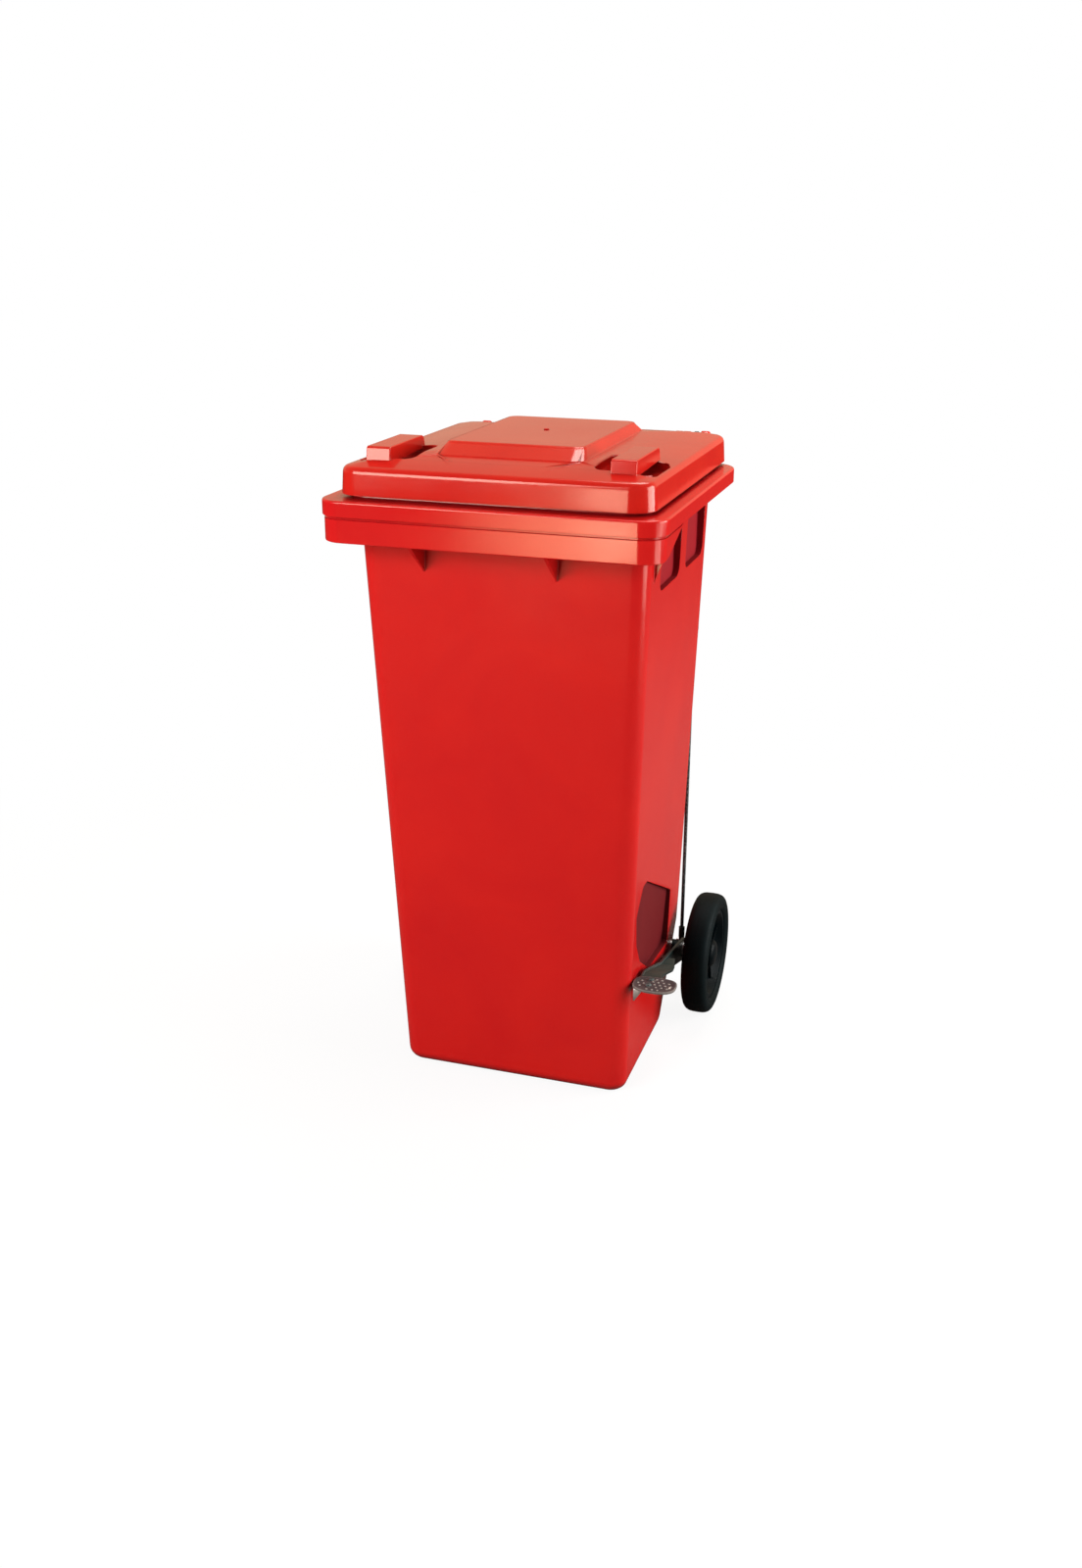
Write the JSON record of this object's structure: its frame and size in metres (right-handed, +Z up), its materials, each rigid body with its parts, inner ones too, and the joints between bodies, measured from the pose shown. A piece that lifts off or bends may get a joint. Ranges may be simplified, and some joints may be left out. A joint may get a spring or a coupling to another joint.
{
  "type": "wheeled waste container with foot pedal",
  "caption": "Tall tapered plastic waste container on wheels, with a hinged lid that a side foot pedal lifts through a push rod, a comb rim and a rear handle.",
  "frame": {"origin": "on the ground under the middle of the container's bounding box", "axes": "+Z up, -Y the front with the comb rim, +Y the rear with wheels and handle, +X the pedal side"},
  "size_m": [0.506, 0.542, 0.97],
  "materials": {
    "bin_red": "moulded HDPE, satin sheen, fine mottling",
    "lid_red": "moulded HDPE, satin sheen",
    "black_rubber": "matt black solid rubber",
    "soft_rubber": "matt black rubber",
    "black_plastic": "black moulded plastic",
    "dark_steel": "dark green-black painted steel",
    "zinc": "zinc plated steel",
    "tread_plate": "worn grey-brown gritted tread"
  },
  "bodies": {
    "root": {"bin_body": "bin_red", "axle": "zinc", "axle_clip_left": "zinc", "axle_clip_right": "zinc", "axle_spacer_left": "black_plastic", "axle_spacer_right": "black_plastic", "axle_washer_right": "zinc", "hinge_pin_left": "zinc", "hinge_pin_right": "zinc", "hinge_cap_left": "bin_red", "hinge_cap_right": "bin_red", "hinge_spacer_left": "black_plastic", "rod_guide_lower": "dark_steel", "rod_guide_upper": "dark_steel", "guide_screw_lower_a": "zinc", "guide_screw_lower_b": "zinc", "guide_screw_upper_a": "zinc", "guide_screw_upper_b": "zinc"},
    "wheel_left": {"tyre_left": "black_rubber", "wheel_hub_left": "black_plastic", "hub_cap_left": "black_plastic"},
    "wheel_right": {"tyre_right": "black_rubber", "wheel_hub_right": "black_plastic", "hub_cap_right": "black_plastic"},
    "pedal": {"pedal_arm": "dark_steel", "pedal_bush": "zinc", "pedal_tread": "tread_plate", "tread_rivet_front": "zinc", "tread_rivet_rear": "zinc", "tread_gusset": "zinc"},
    "push_rod": {"push_rod": "dark_steel", "rod_eye_lower": "dark_steel", "rod_eye_upper": "dark_steel", "lower_pin": "zinc", "lower_pin_spacer": "zinc", "lower_pin_nut": "zinc", "upper_pin": "zinc", "upper_pin_spacer": "zinc", "upper_pin_nut": "zinc"},
    "lifter": {"lifter_arm": "dark_steel", "lifter_shoe": "soft_rubber"},
    "lid": {"lid": "lid_red", "lid_buffer_left": "soft_rubber", "lid_buffer_right": "soft_rubber"}
  },
  "joints": [
    {"name": "lifter_swing", "type": "hinge", "parent": "root", "child": "lifter", "pos_m": [0.165, 0.246, 0.932], "axis": [-1, 0, 0], "range_deg": [0, 64]},
    {"name": "pedal_press", "type": "hinge", "parent": "root", "child": "pedal", "pos_m": [0.1925, 0.16, 0.1], "axis": [1, 0, 0], "range_deg": [0, 28.1]},
    {"name": "rod_slide", "type": "slide", "parent": "root", "child": "push_rod", "axis": [0, 0, 1], "range_m": [0, 0.0308]},
    {"name": "lid_hinge", "type": "hinge", "parent": "lifter", "child": "lid", "pos_m": [0, 0.246, 0.932], "axis": [-1, 0, 0], "range_deg": [0, 148]},
    {"name": "wheel_left_spin", "type": "hinge", "parent": "root", "child": "wheel_left", "pos_m": [-0.232, 0.16, 0.1], "axis": [1, 0, 0], "continuous": true},
    {"name": "wheel_right_spin", "type": "hinge", "parent": "root", "child": "wheel_right", "pos_m": [0.232, 0.16, 0.1], "axis": [1, 0, 0], "continuous": true}
  ],
  "couplings": [
    {"joint": "pedal_press", "follows": "lifter_swing", "ratio": 0.4375},
    {"joint": "rod_slide", "follows": "lifter_swing", "m_per_rad": 0.02742}
  ]
}
